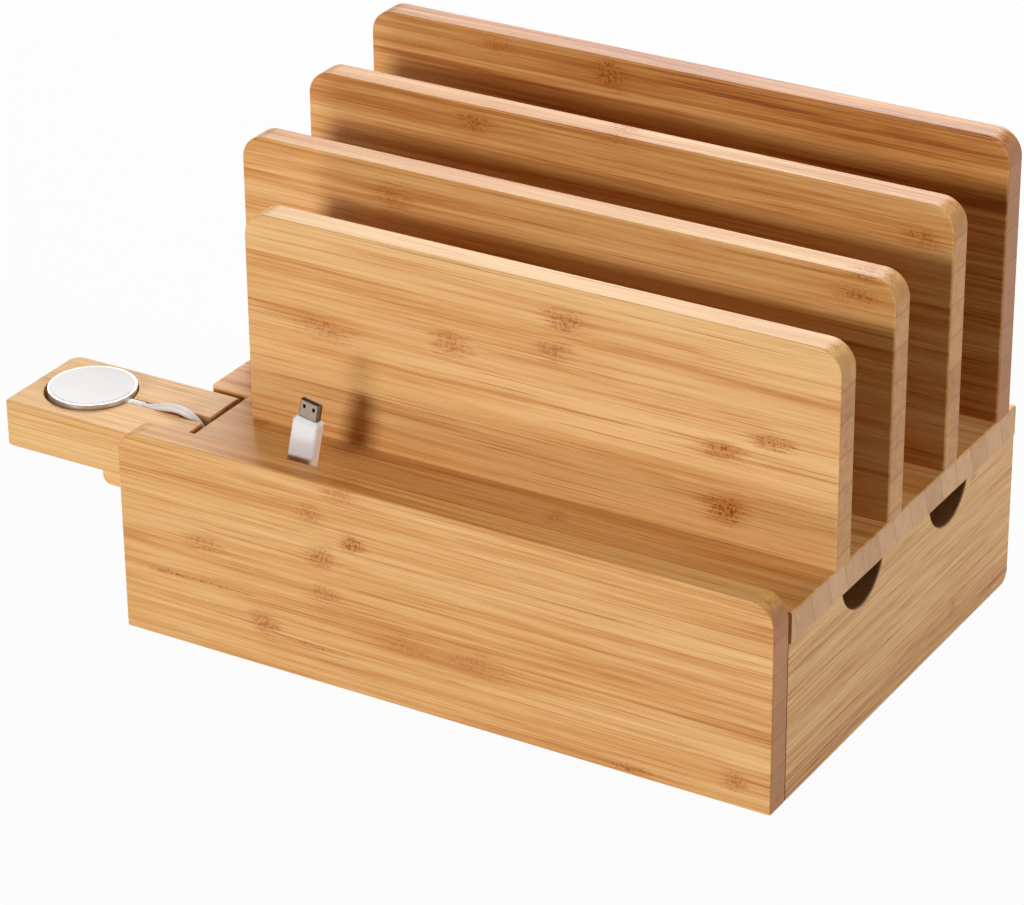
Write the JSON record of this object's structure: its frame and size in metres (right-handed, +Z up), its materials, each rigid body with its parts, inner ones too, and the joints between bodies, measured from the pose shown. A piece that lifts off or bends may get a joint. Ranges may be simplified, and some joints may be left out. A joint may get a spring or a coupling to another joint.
{
  "type": "charging station organizer",
  "caption": "Bamboo charging organizer: a box with a lift-off lid, upright dividers in steps, cable openings and a slide-out arm that holds a watch charger.",
  "frame": {"origin": "on the table, below the middle of the whole object's length and depth", "axes": "+X to the right along the front, +Y from the front to the back, +Z up"},
  "size_m": [0.2716, 0.1602, 0.1534],
  "materials": {
    "bamboo": "clear satin oil, strip-laminated",
    "dowel_wood": "plain sanded beech",
    "foot_rubber": "matt",
    "screw_steel": "zinc plated",
    "case_metal": "polished",
    "charger_white": "smooth, slightly glossy",
    "cord_white": "soft, matt",
    "tip_metal": "satin",
    "tongue_plastic": "matt",
    "winding_copper": "enamelled copper wire",
    "magnet_metal": "nickel plated"
  },
  "bodies": {
    "root": {"front_panel": "bamboo", "right_side_panel": "bamboo", "left_side_panel": "bamboo", "back_panel": "bamboo", "bottom_panel": "bamboo", "front_dowels": "dowel_wood", "back_dowels": "dowel_wood", "lid_pegs": "dowel_wood", "rubber_feet": "foot_rubber", "watch_cord": "cord_white", "watch_cord_coil": "cord_white", "plug_relief": "cord_white", "plug_housing": "charger_white", "plug_shell": "tip_metal", "plug_tongue": "charger_white"},
    "lid": {"lid": "bamboo", "divider_1": "bamboo", "divider_2": "bamboo", "divider_3": "bamboo", "divider_4": "bamboo", "divider_screws": "screw_steel", "connector_housing": "charger_white", "connector_shell": "tip_metal", "connector_tongue": "tongue_plastic"},
    "watch_arm": {"watch_arm": "bamboo", "arm_cleat": "bamboo", "cleat_screws": "screw_steel", "puck_case": "case_metal", "puck_face": "charger_white", "puck_magnet": "magnet_metal", "puck_winding": "winding_copper", "puck_relief": "cord_white"}
  },
  "joints": [
    {"name": "lid_lift", "type": "slide", "parent": "root", "child": "lid", "axis": [0, 0, 1], "range_m": [0, 0.03]},
    {"name": "arm_slide", "type": "slide", "parent": "root", "child": "watch_arm", "axis": [-1, 0, 0], "range_m": [0, 0.034]}
  ]
}
